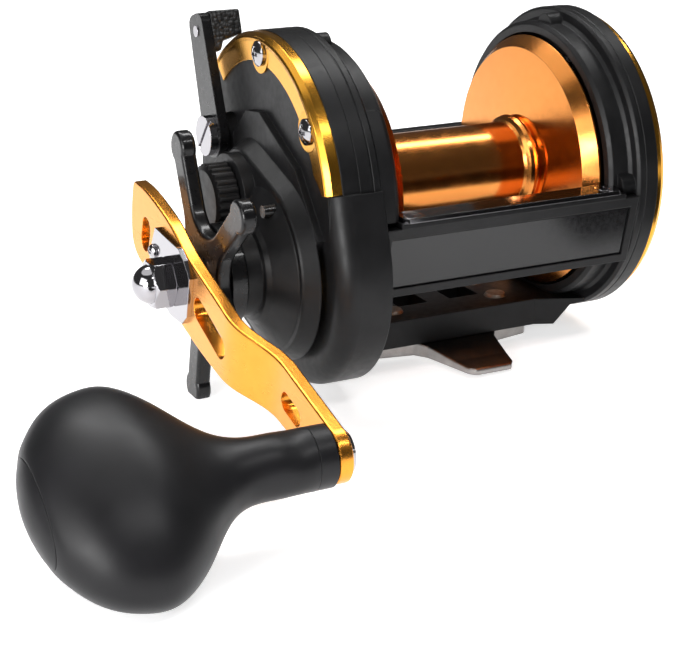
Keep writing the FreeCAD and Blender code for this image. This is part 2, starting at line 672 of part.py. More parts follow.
def arm_square(x0, x1, clearance):
    """The two-flat section that keys the arm to the shaft."""
    flat = 3.1 + clearance
    rounds = rod(x0, x1, SLEEVE_R + clearance, HANDLE_Y, HANDLE_Z)
    return rounds.common(block(x0, x1, HANDLE_Y - 6, HANDLE_Y + 6, HANDLE_Z - flat, HANDLE_Z + flat))


def main_gear():
    """The large drive gear, cupped to take the drag washers."""
    along = math.degrees(math.atan2(-HANDLE_Z, -HANDLE_Y))
    body = gear(MAIN_TEETH, GEAR_X, GEAR_X + GEAR_WIDTH, HANDLE_Y, HANDLE_Z, along)
    body = body.cut(rod(GEAR_X - 1, GEAR_X + 3.7, 12.0, HANDLE_Y, HANDLE_Z))
    return body.cut(rod(GEAR_X - 1, GEAR_X + 6, SLEEVE_R + 0.02, HANDLE_Y, HANDLE_Z))


def washer_stack(first, outer):
    """Three washers of the drag stack, every second place starting at first."""
    washers = []
    for i in range(3):
        x = GEAR_X + 3.68 - 0.6 * (2 * i + first)
        washers.append(tube(x - 0.58, x, outer, SLEEVE_R + 0.02, HANDLE_Y, HANDLE_Z))
    return Part.makeCompound(washers)


def drag_springs():
    """Two cupped spring washers, set back to back."""
    inner = SLEEVE_R + 0.05
    first = turned([(-52.2, 7.6), (-52.9, inner), (-53.5, inner), (-52.8, 7.6)], HANDLE_Y, HANDLE_Z)
    second = turned([(-54.8, 7.6), (-54.1, inner), (-53.52, inner), (-54.2, 7.6)], HANDLE_Y, HANDLE_Z)
    return Part.makeCompound([first, second])


def ratchet_wheel():
    """The anti-reverse ratchet on the foot of the sleeve."""
    outline = []
    for i in range(RATCHET_TEETH):
        base = RATCHET_PHASE + 360.0 * i / RATCHET_TEETH
        outline.append(on_circle(7.2, base, HANDLE_Y, HANDLE_Z))
        outline.append(on_circle(9.2, base + 1.0, HANDLE_Y, HANDLE_Z))
        outline.append(on_circle(8.4, base + 14.0, HANDLE_Y, HANDLE_Z))
    wheel = slab_x(outline, -43.8, -42.2)
    return wheel.cut(rod(-45.0, -41.0, SLEEVE_R + 0.02, HANDLE_Y, HANDLE_Z))


RATCHET_TEETH = 12
RATCHET_PHASE = 0.0
DOG_PIVOT = on_circle(13.5, 300.0, HANDLE_Y, HANDLE_Z)


def reverse_dog():
    """The pivoted dog beside the ratchet, with its nose just clear of the teeth."""
    y, z = DOG_PIVOT
    nose = on_circle(9.6, 266.0, HANDLE_Y, HANDLE_Z)
    back = on_circle(11.6, 263.0, HANDLE_Y, HANDLE_Z)
    near = on_circle(11.6, 300.0, HANDLE_Y, HANDLE_Z)
    far = on_circle(15.4, 300.0, HANDLE_Y, HANDLE_Z)
    body = rod(-43.6, -42.4, 2.1, y, z).fuse(slab_x([near, nose, back, far], -43.6, -42.4))
    return body.cut(rod(-44.0, -42.0, 1.0 + GAP, y, z)).removeSplitter()


def dog_spring():
    """The leaf that presses the dog towards the ratchet, on its own post."""
    y, z = on_circle(14.6, 268.0, HANDLE_Y, HANDLE_Z)
    leaf = block(-43.4, -42.6, y - 0.5, y + 7.5, z - 0.15, z + 0.15)
    post = rod(-43.4, -41.0, 0.7, y, z)
    return leaf.fuse(post).removeSplitter()


def star_wheel():
    """The five-armed drag wheel: straight arms with round lobes, and round valleys between them."""
    half_width = 3.2
    lobe_r = 4.2
    valley_r = 9.35
    pitch = 360.0 / STAR_ARMS
    valley_reach = (half_width + valley_r) / math.sin(math.radians(pitch / 2))
    side_start = valley_reach * math.cos(math.radians(pitch / 2))
    side_end = STAR_REACH - math.sqrt(lobe_r ** 2 - half_width ** 2)

    def point(angle, along, across):
        turn = math.radians(angle)
        y = along * math.cos(turn) - across * math.sin(turn)
        z = along * math.sin(turn) + across * math.cos(turn)
        return Vector(STAR_X, HANDLE_Y + y, HANDLE_Z + z)

    edges = []
    for i in range(STAR_ARMS):
        angle = 180.0 - STAR_FIRST_ARM + pitch * i
        low = point(angle, side_start, -half_width)
        low_end = point(angle, side_end, -half_width)
        high_end = point(angle, side_end, half_width)
        high = point(angle, side_start, half_width)
        valley = point(angle + pitch / 2, valley_reach - valley_r, 0.0)
        following = point(angle + pitch, side_start, -half_width)
        edges.append(Part.makeLine(low, low_end))
        edges.append(Part.Arc(low_end, point(angle, STAR_REACH + lobe_r, 0.0), high_end).toShape())
        edges.append(Part.makeLine(high_end, high))
        edges.append(Part.Arc(high, valley, following).toShape())
    wheel = Part.Face(Part.Wire(edges)).extrude(Vector(STAR_THICKNESS, 0, 0))
    rim = [edge for edge in wheel.Edges if edge.BoundBox.XLength < 0.01]
    wheel = wheel.makeFillet(STAR_EDGE_R, rim)
    return wheel.cut(rod(STAR_X - 1, STAR_X + 6, 6.02, HANDLE_Y, HANDLE_Z))


def star_nut():
    """The threaded hub behind the star: a flange and a spigot that keys into the wheel."""
    flange_x = STAR_X + STAR_THICKNESS
    nut = tube(flange_x, flange_x + 3.8, 12.6, SLEEVE_R + GAP, HANDLE_Y, HANDLE_Z)
    spigot = tube(STAR_X - 0.6, flange_x, 6.0, SLEEVE_R + GAP, HANDLE_Y, HANDLE_Z)
    return nut.fuse(spigot).removeSplitter()


# ---------------------------------------------------------------- handle arm and knob

ARM_REACH = math.hypot(KNOB_Y - HANDLE_Y, KNOB_Z - HANDLE_Z)
ARM_ANGLE = math.degrees(math.atan2(KNOB_Z - HANDLE_Z, KNOB_Y - HANDLE_Y))


def to_arm(shape):
    """Turn a shape drawn along +Y from the shaft so that it points at the knob."""
    shape.rotate(Vector(0, 0, 0), Vector(1, 0, 0), ARM_ANGLE)
    shape.translate(Vector(0, HANDLE_Y, HANDLE_Z))
    return shape


def arm_slot(s0, w0, s1, w1, radius):
    """A round-ended slot through the arm between two points of its length and width."""
    length = math.hypot(s1 - s0, w1 - w0)
    us, uw = (s1 - s0) / length, (w1 - w0) / length
    sides = [
        (s0 - uw * radius, w0 + us * radius), (s1 - uw * radius, w1 + us * radius),
        (s1 + uw * radius, w1 - us * radius), (s0 + uw * radius, w0 - us * radius)]
    hole = slab_x(sides, -90.0, -60.0)
    return hole.fuse(rod(-90.0, -60.0, radius, s0, w0)).fuse(rod(-90.0, -60.0, radius, s1, w1))


def spline(points, start=None, end=None):
    """A smooth curve through points, with its end directions where they matter."""
    curve = Part.BSplineCurve()
    if start is None:
        curve.interpolate(Points=points)
    else:
        curve.interpolate(Points=points, InitialTangent=start, FinalTangent=end)
    return curve.toShape()


def arm_side():
    """The arm seen edge on: two straight lengths joined by a smooth crank."""
    edges = []
    ends = []
    for x in (ARM_X, ARM_X + ARM_THICKNESS):
        crank = [
            Vector(x, 31.0, -20.0), Vector(x + ARM_OFFSET / 2, 42.0, -20.0),
            Vector(x + ARM_OFFSET, 53.0, -20.0)]
        edges.append(Part.makeLine(Vector(x, -34.0, -20.0), crank[0]))
        edges.append(spline(crank, Vector(0, 1, 0), Vector(0, 1, 0)))
        edges.append(Part.makeLine(crank[-1], Vector(x + ARM_OFFSET, 90.0, -20.0)))
        ends.append((Vector(x, -34.0, -20.0), Vector(x + ARM_OFFSET, 90.0, -20.0)))
    edges.append(Part.makeLine(ends[0][0], ends[1][0]))
    edges.append(Part.makeLine(ends[0][1], ends[1][1]))
    return Part.Face(Part.Wire(Part.__sortEdges__(edges))).extrude(Vector(0, 0, 40.0))


def arm_plan():
    """The arm seen face on: a broad tail with one sharp corner, then a long taper to the eye."""
    tail = [(-22.0, 6.8), (-25.6, 5.9), (-28.3, 3.8), (-29.6, 0.0), (-30.2, -5.0), (-30.0, -10.8)]
    upper = [
        (-28.0, -12.9), (-22.0, -13.8), (-12.0, -13.9), (-4.0, -13.2), (3.0, -11.5), (10.0, -10.4),
        (24.0, -9.3),
        (38.0, -7.9), (52.0, -7.2), (ARM_REACH, -6.4)]
    lower = [(ARM_REACH, 6.4), (52.0, 7.4), (38.0, 8.2), (24.0, 8.9), (10.0, 8.8), (-6.0, 7.8), (-22.0, 6.8)]

    def at(point):
        return Vector(-90.0, point[0], point[1])

    edges = [spline([at(q) for q in tail])]
    edges.append(Part.Arc(at(tail[-1]), at((-29.4, -12.2)), at(upper[0])).toShape())
    edges.append(spline([at(q) for q in upper]))
    edges.append(Part.Arc(at(upper[-1]), at((ARM_REACH + 6.4, 0.0)), at(lower[0])).toShape())
    edges.append(spline([at(q) for q in lower]))
    return Part.Face(Part.Wire(edges)).extrude(Vector(30.0, 0, 0))


def handle_arm():
    """The cranked gold arm: a wide head at the shaft, slots to lighten it, an eye for the knob."""
    arm = arm_side().common(arm_plan())
    arm = arm.makeFillet(0.5, [edge for edge in arm.Edges if edge.Length > 4.0])
    arm = arm.cut(arm_slot(-19.6, -0.6, -19.2, -4.5, 2.7))
    arm = arm.cut(arm_slot(16.4, -1.2, 29.6, 0.8, 3.0))
    arm = arm.cut(arm_slot(55.5, 0.4, 61.0, 0.6, 2.3))
    arm = arm.cut(rod(-90.0, -60.0, 3.02, ARM_REACH, 0.0))
    arm = to_arm(arm)
    arm = arm.cut(arm_square(-83.0, -76.0, 0.02))
    arm = arm.cut(nut_screw_hole(0.95))
    return arm.removeSplitter()


NUT_SCREW = (-10.3, -2.9)


def nut_screw_hole(radius):
    return to_arm(rod(-83.5, -79.0, radius, *NUT_SCREW))


def nut_retainer():
    """The pointed plate that locks the handle nut."""
    outline = [
        (-10.6, -9.2), (-2.0, -10.4), (4.6, -11.4), (8.4, -10.2), (12.4, -7.4), (12.3, 3.0), (9.6, 6.4),
        (2.0, 8.2),
        (-6.0, 7.0), (-13.4, 2.4), (-12.4, -3.6)]
    plate = to_arm(slab_x(outline, -82.0, ARM_X))
    plate = plate.cut(rod(-83.0, -80.0, SLEEVE_R + 0.1, HANDLE_Y, HANDLE_Z))
    return plate.cut(nut_screw_hole(1.0))


def retainer_screw():
    """The small pan-head screw that fixes the retainer to the arm."""
    body = screw(-82.0, -79.2, NUT_SCREW[0], NUT_SCREW[1], 1.75, 1.5, 0.93)
    return to_arm(body)


def handle_nut():
    """The domed cap nut on the end of the shaft."""
    flats = [on_circle(6.3, 60.0 * i) for i in range(6)]
    hexagon = slab_x(flats, -87.2, -82.0)
    chamfer = turned([(-82.0, 0.0), (-82.0, 5.9), (-82.6, 6.6), (-86.2, 6.6), (-87.4, 5.2), (-87.4, 0.0)])
    nut = hexagon.common(chamfer)
    dome = Part.makeSphere(4.9, Vector(-86.3, 0, 0)).common(rod(-92.0, -86.3, 5.0))
    nut = nut.fuse(dome).cut(rod(-88.8, -81.0, 3.02))
    nut.translate(Vector(0, HANDLE_Y, HANDLE_Z))
    return nut.removeSplitter()


def knob_spindle():
    """The riveted spindle that the knob turns on, with a domed head behind the arm."""
    head_x = KNOB_FACE + ARM_THICKNESS
    spindle = rod(-126.0, head_x, 3.0, KNOB_Y, KNOB_Z)
    spindle = spindle.fuse(cone(head_x, head_x + 1.2, 5.6, 4.8, KNOB_Y, KNOB_Z))
    return spindle.fuse(rod(-128.0, -126.0, 4.6, KNOB_Y, KNOB_Z)).removeSplitter()


def place_knob(shape):
    """Turn a shape drawn about the X axis to the knob's resting slant and put it on the spindle."""
    shape.rotate(Vector(0, 0, 0), Vector(1, 0, 0), KNOB_SLANT)
    shape.translate(Vector(0, KNOB_Y, KNOB_Z))
    return shape


def knob_body():
    """The paddle-shaped power knob: a round neck that swells into a flattened oval head."""
    sections = []
    for x, half_length, half_thickness in KNOB_SECTIONS:
        oval = Part.Ellipse(Vector(x, half_length, 0), Vector(x, 0, half_thickness), Vector(x, 0, 0))
        sections.append(Part.Wire([oval.toShape()]))
    body = place_knob(Part.makeLoft(sections, True, False))
    body = body.cut(rod(-140.0, -125.0, 5.2, KNOB_Y, KNOB_Z))
    body = body.cut(rod(-128.0, -70.0, 3.35, KNOB_Y, KNOB_Z))
    return body.cut(rod(-86.4, -70.0, 5.02, KNOB_Y, KNOB_Z))


def knob_bush():
    """The flanged bush that runs on the spindle and shows as a collar between the knob and the arm."""
    collar = tube(BUSH_X + 0.1, KNOB_FACE - 0.4, 6.85, 3.0 + GAP, KNOB_Y, KNOB_Z)
    return collar.fuse(tube(-86.0, BUSH_X + 0.1, 5.0, 3.0 + GAP, KNOB_Y, KNOB_Z)).removeSplitter()


def knob_end_cap():
    """The flush blank cap on the knob's outer end: a low oval dome."""
    seat, half_length, half_thickness = KNOB_SECTIONS[-1]
    seat -= 0.02
    rim = Vector(seat, half_length - 0.2, 0)
    tip = Vector(seat - 2.8, 0, 0)
    dome = spline([
        rim, Vector(seat - 1.1, 10.4, 0), Vector(seat - 2.0, 7.0, 0), Vector(seat - 2.6, 3.3, 0), tip])
    middle = Vector(seat, 0, 0)
    face = Part.Face(Part.Wire([dome, Part.makeLine(tip, middle), Part.makeLine(middle, rim)]))
    cap = face.revolve(Vector(0, 0, 0), Vector(1, 0, 0), 360)
    flatten = FreeCAD.Matrix()
    flatten.scale(Vector(1, 1, half_thickness / half_length))
    return place_knob(cap.transformGeometry(flatten))


# ---------------------------------------------------------------- lever and cap

def lever_place(shape):
    """Lean a shape drawn up +Z from the pivot to the lever's own slant."""
    shape.rotate(Vector(0, 0, 0), Vector(1, 0, 0), -LEVER_LEAN)
    shape.translate(Vector(0, LEVER_Y, LEVER_Z))
    return shape


def clutch_lever():
    """The tapered lever blade with a round foot at the pivot."""
    outline = [
        (-5.8, 1.0), (-4.5, LEVER_LENGTH - 2.4), (-4.0, LEVER_LENGTH - 1.1), (-2.8, LEVER_LENGTH - 0.2),
        (-1.4, LEVER_LENGTH), (1.6, LEVER_LENGTH), (3.1, LEVER_LENGTH - 0.3), (4.2, LEVER_LENGTH - 1.2),
        (4.6, LEVER_LENGTH - 2.4), (5.8, 1.0)]
    blade = slab_x(outline, LEVER_X, LEVER_X + 2.6).fuse(rod(LEVER_X, LEVER_X + 2.6, 5.9))
    blade = blade.cut(rod(-58.0, -53.0, 2.02))
    blade = blade.cut(rod(-58.0, -53.0, 1.52, 0.0, LEVER_LENGTH - 4.4))
    return lever_place(blade.removeSplitter())


def lever_pad():
    """The thumb pad that stands inward from the top of the lever, over the rim."""
    outline = [(-53.68, 21.0), (-51.9, 21.0), (-50.9, 23.6), (-45.4, 25.0), (-45.4, 31.4), (-53.68, 31.4)]
    corners = [Vector(x, -4.6, z) for x, z in outline]
    pad = Part.Face(Part.makePolygon(corners + corners[:1])).extrude(Vector(0, 9.2, 0))
    outer = [edge for edge in pad.Edges if edge.BoundBox.XMax > -53.6]
    return lever_place(pad.makeFillet(0.7, outer))


def lever_rivet():
    """The rivet that holds the pad, flush in the blade."""
    return lever_place(rod(LEVER_X - 0.3, LEVER_X + 2.6, 1.5, 0.0, LEVER_LENGTH - 4.4))


def lever_screw():
    """The big slotted screw that holds the lever on its shaft."""
    head = rod(-58.6, LEVER_X, 5.2, LEVER_Y, LEVER_Z)
    slot = block(-59.0, -57.7, -6.0, 6.0, -0.55, 0.55)
    slot.rotate(Vector(0, 0, 0), Vector(1, 0, 0), -50)
    slot.translate(Vector(0, LEVER_Y, LEVER_Z))
    neck = rod(LEVER_X, -53.7, 2.0, LEVER_Y, LEVER_Z)
    return head.cut(slot).fuse(neck).removeSplitter()


def cast_control_cap():
    """The knurled cap over the spool's bearing, which sets the end play."""
    flutes = 26
    outline = []
    for i in range(flutes):
        base = 360.0 * i / flutes
        outline.append(on_circle(CAP_R - 0.55, base - 5.0))
        outline.append(on_circle(CAP_R - 0.15, base - 3.2))
        outline.append(on_circle(CAP_R, base - 1.4))
        outline.append(on_circle(CAP_R, base + 1.4))
        outline.append(on_circle(CAP_R - 0.15, base + 3.2))
        outline.append(on_circle(CAP_R - 0.55, base + 5.0))
    cap = slab_x(outline, -66.0, -60.0)
    ease = turned([
        (-66.0, 0.0), (-66.0, 7.6), (-65.6, 8.4), (-65.0, 9.6), (-60.3, 9.6), (-60.0, 9.0), (-60.0, 0.0)])
    cap = cap.common(ease)
    return cap.cut(rod(-64.7, -59.0, 7.0 + GAP))


def cast_control_shim():
    """The friction disc between the cap and the end of the spool shaft."""
    return rod(-64.65, -62.7, 2.9)


# ---------------------------------------------------------------- far side

def far_side_plate():
    """The far cover with the bearing boss and the clicker slot."""
    plate = rod(BAND_X, 44.2, 37.0).fuse(rod(44.0, 45.0, 34.3))
    plate = plate.fuse(cone(45.0, 47.4, 12.6, 11.0)).fuse(rod(47.4, 49.6, 8.0))
    plate = plate.cut(rod(42.0, 48.6, 5.0)).cut(rod(48.0, 50.0, 2.6))
    slot_y, slot_z = CLICKER
    plate = plate.cut(
        block(42.0, 46.0, slot_y - 1.6, slot_y + 1.6, slot_z - CLICKER_TRAVEL - 1.7, slot_z + 1.7))
    for angle in FAR_SCREW_ANGLES:
        y, z = on_circle(BOSS_R, angle)
        plate = plate.cut(rod(42.0, 46.0, SCREW_R + 0.05, y, z)).cut(rod(FAR_SEAT_X, 46.0, 2.7, y, z))
    return plate.removeSplitter()


def far_side_trim():
    """The full gold ring on the far rim."""
    trim = turned([
        (BAND_X, RIM_R), (44.4, RIM_R), (45.4, RIM_R - 0.5), (45.7, RIM_R - 1.4), (45.7, 34.4),
        (44.25, 34.4),
        (44.25, 37.1), (BAND_X, 37.1)])
    for angle in FAR_SCREW_ANGLES:
        y, z = on_circle(BOSS_R, angle)
        trim = trim.cut(rod(42.0, 47.0, SCREW_R + 0.05, y, z)).cut(rod(FAR_SEAT_X, 47.0, 2.7, y, z))
    return trim


def far_bearing_cap():
    """The coin-slotted cap that closes the far bearing."""
    cap = turned([(48.2, 0.0), (48.2, 9.6), (51.2, 9.6), (52.2, 8.8), (52.6, 7.2), (52.6, 0.0)])
    cap = cap.cut(rod(48.0, 50.4, 8.0 + GAP))
    return cap.cut(block(51.6, 53.0, -5.2, 5.2, -0.8, 0.8))


CLICKER = (0.0, 22.0)
CLICKER_TRAVEL = 4.5


def clicker_button():
    """The sliding thumb button, with its stem through the far plate."""
    y, z = CLICKER
    button = turned([(45.2, 0.0), (45.2, 4.4), (46.8, 4.4), (47.6, 3.6), (47.6, 0.0)], y, z)
    return button.fuse(rod(40.2, 45.2, 1.4, y, z)).removeSplitter()


def clicker_tongue():
    """The pointed tongue on the button's stem, which stops just short of the spool's ratchet."""
    y, z = CLICKER
    outline = [(y, z - 6.5), (y + 1.8, z - 4.4), (y + 1.8, z + 2.2), (y - 1.8, z + 2.2), (y - 1.8, z - 4.4)]
    return slab_x(outline, 38.4, 40.2)


def clicker_spring():
    """The hairpin spring whose legs pinch the button's stem."""
    y, z = CLICKER
    legs = block(41.2, 42.0, y - 2.4, y - 1.8, z - 8.0, z + 5.0)
    legs = legs.fuse(block(41.2, 42.0, y + 1.8, y + 2.4, z - 8.0, z + 5.0))
    bend = block(41.2, 42.0, y - 2.4, y + 2.4, z + 4.4, z + 5.0)
    return legs.fuse(bend).fuse(rod(41.2, BAND_X, 0.8, y, z + 4.7)).removeSplitter()


# ---------------------------------------------------------------- assembly

def build():
    """Every piece by name, in the spool's frame."""
    far_ring = side_ring(FAR_SCREW_ANGLES, shoulder=False)
    near_ring = mirrored(side_ring(TRIM_SCREW_ANGLES + PLATE_SCREW_ANGLES + (176.0,), shoulder=True))
    rings = (near_ring, far_ring)
    h = (HANDLE_Y, HANDLE_Z)
    return {
        "handle_side_ring": near_ring,
        "far_side_ring": far_ring,
        "front_panel": front_panel(rings),
        "panel_inset": panel_inset(),
        "deck_plate": deck_plate(rings),
        "deck_screws": deck_screws(),
        "frame_screws": frame_screws(),
        "rear_bar": rear_bar(rings),
        "bottom_bar": bottom_bar(rings),
        "reel_foot": reel_foot(),
        "foot_rivets": foot_rivets(),
        "handle_side_plate": handle_side_plate(),
        "handle_side_trim": handle_side_trim(),
        "trim_screws": plate_screws(TRIM_SCREW_ANGLES, -51.0, -34.0),
        "plate_screws": plate_screws(PLATE_SCREW_ANGLES, FACE_X, -34.0, 2.9, 1.4),
        "oil_port_plug": oil_port_plug(),
        "bridge_plate": bridge_plate(),
        "bridge_screws": bridge_screws(),
        "clutch_yoke": clutch_yoke(),
        "yoke_springs": yoke_springs(),
        "clutch_cam": clutch_cam(),
        "clutch_lever": clutch_lever(),
        "lever_pad": lever_pad(),
        "lever_rivet": lever_rivet(),
        "lever_screw": lever_screw(),
        "spool": spool(),
        "spool_shaft": spool_shaft(),
        "clicker_ratchet": clicker_ratchet(),
        "pinion_gear": pinion_gear(),
        "handle_side_bearing": bearing(-60.4, -56.4, 5.0, SHAFT_R + GAP),
        "far_side_bearing": bearing(44.4, 48.4, 5.0, SHAFT_R + GAP),
        "handle_shaft": handle_shaft(),
        "main_gear": main_gear(),
        "drag_washers": washer_stack(0, 11.8),
        "drag_plates": washer_stack(1, 11.6),
        "drag_springs": drag_springs(),
        "drag_sleeve": tube(-66.4, -54.9, 5.2, SLEEVE_R + 0.02, *h),
        "shaft_bearing": tube(-64.9, -58.7, 8.0, 5.2 + GAP, *h),
        "ratchet_wheel": ratchet_wheel(),
        "reverse_dog": reverse_dog(),
        "dog_spring": dog_spring(),
        "star_wheel": star_wheel(),
        "star_nut": star_nut(),
        "handle_arm": handle_arm(),
        "nut_retainer": nut_retainer(),
        "retainer_screw": retainer_screw(),
        "handle_nut": handle_nut(),
        "knob_spindle": knob_spindle(),
        "knob_body": knob_body(),
        "knob_bush": knob_bush(),
        "knob_end_cap": knob_end_cap(),
        "cast_control_cap": cast_control_cap(),
        "cast_control_shim": cast_control_shim(),
        "far_side_plate": far_side_plate(),
        "far_side_trim": far_side_trim(),
        "far_plate_screws": plate_screws(FAR_SCREW_ANGLES, FAR_SEAT_X, 34.0, 2.6, 1.0),
        "far_bearing_cap": far_bearing_cap(),
        "clicker_button": clicker_button(),
        "clicker_tongue": clicker_tongue(),
        "clicker_spring": clicker_spring(),
    }


os.makedirs("parts", exist_ok=True)
for name, shape in build().items():
    export(name, shape)
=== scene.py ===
import bpy
import json
import math
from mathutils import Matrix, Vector


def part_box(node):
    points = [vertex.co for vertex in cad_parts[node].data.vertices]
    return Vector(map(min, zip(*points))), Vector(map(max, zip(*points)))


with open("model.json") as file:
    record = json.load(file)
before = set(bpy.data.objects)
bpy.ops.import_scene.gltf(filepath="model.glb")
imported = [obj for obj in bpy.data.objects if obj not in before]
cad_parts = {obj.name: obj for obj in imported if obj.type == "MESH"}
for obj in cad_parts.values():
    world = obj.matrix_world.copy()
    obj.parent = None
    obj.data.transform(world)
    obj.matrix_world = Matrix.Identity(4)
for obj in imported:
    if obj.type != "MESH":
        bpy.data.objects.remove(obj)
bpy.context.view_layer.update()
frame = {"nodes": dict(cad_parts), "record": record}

# Star-drag trolling reel. The CAD model supplies every piece and its place; this script gives each
# one its surface, sets the reel down on its foot and knob, and lights it. Units are metres.

MM = 0.001
SPOOL_AXIS = Vector((0.0, 0.0, 0.046))
HANDLE_AXIS = Vector((0.0, -0.0153, 0.046 - 0.01457))


# ---------------------------------------------------------------- node helpers

class Surface:
    """A material under construction, with short ways to add the nodes it needs."""

    def __init__(self, name, colour, roughness, metallic=0.0):
        self.material = bpy.data.materials.new(name)
        self.material.use_nodes = True
        self.nodes = self.material.node_tree.nodes
        self.links = self.material.node_tree.links
        self.nodes.clear()
        output = self.nodes.new("ShaderNodeOutputMaterial")
        self.shader = self.nodes.new("ShaderNodeBsdfPrincipled")
        self.links.new(self.shader.outputs["BSDF"], output.inputs["Surface"])
        self.shader.inputs["Base Color"].default_value = (*colour, 1.0)
        self.shader.inputs["Roughness"].default_value = roughness
        self.shader.inputs["Metallic"].default_value = metallic
        self.place = self.nodes.new("ShaderNodeTexCoord").outputs["Object"]
        self.normal = None

    def set(self, **values):
        """Constants on the shader's own sockets, such as Coat_Weight=0.5."""
        for key, value in values.items():
            self.shader.inputs[key.replace("_", " ")].default_value = value
        return self

    def moved(self, scale=(1.0, 1.0, 1.0), turn=(0.0, 0.0, 0.0), offset=(0.0, 0.0, 0.0)):
        """The object's own coordinates, stretched, turned and shifted."""
        mapping = self.nodes.new("ShaderNodeMapping")
        mapping.inputs["Scale"].default_value = scale
        mapping.inputs["Rotation"].default_value = turn
        mapping.inputs["Location"].default_value = offset
        self.links.new(self.place, mapping.inputs["Vector"])
        return mapping.outputs["Vector"]

    def noise(self, scale, detail=3.0, vector=None):
        """Noise whose grain is 1 / scale metres."""
        node = self.nodes.new("ShaderNodeTexNoise")
        node.inputs["Scale"].default_value = scale
        node.inputs["Detail"].default_value = detail
        self.links.new(vector or self.place, node.inputs["Vector"])
        return node.outputs["Fac"]

    def cells(self, scale):
        """Rounded cells 1 / scale metres across, dark in the middle."""
        node = self.nodes.new("ShaderNodeTexVoronoi")
        node.inputs["Scale"].default_value = scale
        self.links.new(self.place, node.inputs["Vector"])
        return node.outputs["Distance"]

    def math(self, operation, first, second=0.0):
        """One arithmetic node; each operand is a number or another node's output."""
        node = self.nodes.new("ShaderNodeMath")
        node.operation = operation
        for socket, value in zip(node.inputs, (first, second)):
            if isinstance(value, (int, float)):
                socket.default_value = value
            else:
                self.links.new(value, socket)
        return node.outputs["Value"]

    def spread(self, value, low, high, from_low=0.3, from_high=0.7):
        """A 0 to 1 pattern stretched to run from low to high."""
        node = self.nodes.new("ShaderNodeMapRange")
        node.inputs["From Min"].default_value = from_low
        node.inputs["From Max"].default_value = from_high
        node.inputs["To Min"].default_value = low
        node.inputs["To Max"].default_value = high
        self.links.new(value, node.inputs["Value"])
        return node.outputs["Result"]

    def colour(self, value, dark, light):
        """Base colour running from dark to light with a pattern."""
        node = self.nodes.new("ShaderNodeMix")
        node.data_type = "RGBA"
        node.inputs["A"].default_value = (*dark, 1.0)
        node.inputs["B"].default_value = (*light, 1.0)
        self.links.new(value, node.inputs["Factor"])
        self.links.new(node.outputs["Result"], self.shader.inputs["Base Color"])
        return self

    def roughness(self, value):
        """Roughness that follows a pattern."""
        self.links.new(value, self.shader.inputs["Roughness"])
        return self

    def round_edges(self, radius=0.25 * MM):
        """Soften the highlight along sharp edges by a small radius."""
        node = self.nodes.new("ShaderNodeBevel")
        node.samples = 4
        node.inputs["Radius"].default_value = radius
        self.normal = node.outputs["Normal"]
        self.links.new(self.normal, self.shader.inputs["Normal"])
        return self

    def bump(self, height, depth, strength=1.0):
        """Relief of the given depth in metres, laid over whatever relief is there."""
        node = self.nodes.new("ShaderNodeBump")
        node.inputs["Strength"].default_value = strength
        node.inputs["Distance"].default_value = depth
        self.links.new(height, node.inputs["Height"])
        if self.normal:
            self.links.new(self.normal, node.inputs["Normal"])
        self.normal = node.outputs["Normal"]
        self.links.new(self.normal, self.shader.inputs["Normal"])
        return self

    def radius_from(self, centre):
        """Distance from a line along X through centre."""
        node = self.nodes.new("ShaderNodeVectorMath")
        node.operation = "LENGTH"
        shifted = self.moved(scale=(0.0, 1.0, 1.0), offset=(0.0, -centre.y, -centre.z))
        self.links.new(shifted, node.inputs[0])
        return node.outputs["Value"]

    def lathe_marks(self, centre, pitch, depth):
        """Fine turned grooves about a line along X, on faces and on barrels."""
        radius = self.radius_from(centre)
        along = self.nodes.new("ShaderNodeSeparateXYZ")
        self.links.new(self.place, along.inputs[0])
        travel = self.math("ADD", radius, along.outputs["X"])
        uneven = self.math("MULTIPLY", self.noise(40.0, 2.0), 0.0012)
        phase = self.math("MULTIPLY", self.math("ADD", travel, uneven), 2 * math.pi / pitch)
        return self.bump(self.math("SINE", phase), depth)

    def radial_shine(self, amount):
        """Stretch the highlight across turned grooves, about the piece's own X axis."""
        tangent = self.nodes.new("ShaderNodeTangent")
        tangent.direction_type = "RADIAL"
        tangent.axis = "X"
        self.links.new(tangent.outputs["Tangent"], self.shader.inputs["Tangent"])
        self.shader.inputs["Anisotropic"].default_value = amount
        return self


# ---------------------------------------------------------------- materials

def graphite():
    """Moulded carbon-filled nylon: satin, with a fine spark texture and faint flow marks."""
    s = Surface("graphite", (0.0065, 0.0065, 0.007), 0.40).round_edges(0.45 * MM)
    s.colour(s.spread(s.noise(160.0, 5.0), 0.0, 1.0), (0.0050, 0.0050, 0.0054), (0.0085, 0.0084, 0.0090))
    s.roughness(s.spread(s.noise(520.0, 5.0), 0.35, 0.46))
    s.bump(s.noise(3600.0, 3.0), 0.02 * MM, 0.7)
    return s.set(Specular_IOR_Level=0.23).material


def gold_anodised():
    """Bead-blasted and anodised aluminium with faint handling marks."""
    s = Surface("gold_anodised", (0.85, 0.34, 0.045), 0.26, 1.0).round_edges(0.35 * MM)
    s.colour(s.spread(s.noise(340.0, 5.0), 0.0, 1.0), (0.84, 0.330, 0.043), (0.86, 0.350, 0.049))
    scratches = s.noise(900.0, 3.0, vector=s.moved(scale=(1.0, 0.06, 1.0), turn=(0.3, 0.0, 0.0)))
    s.roughness(s.spread(scratches, 0.24, 0.28))
    s.bump(s.noise(900.0, 2.0), 0.0008 * MM, 0.5)
    return s.material


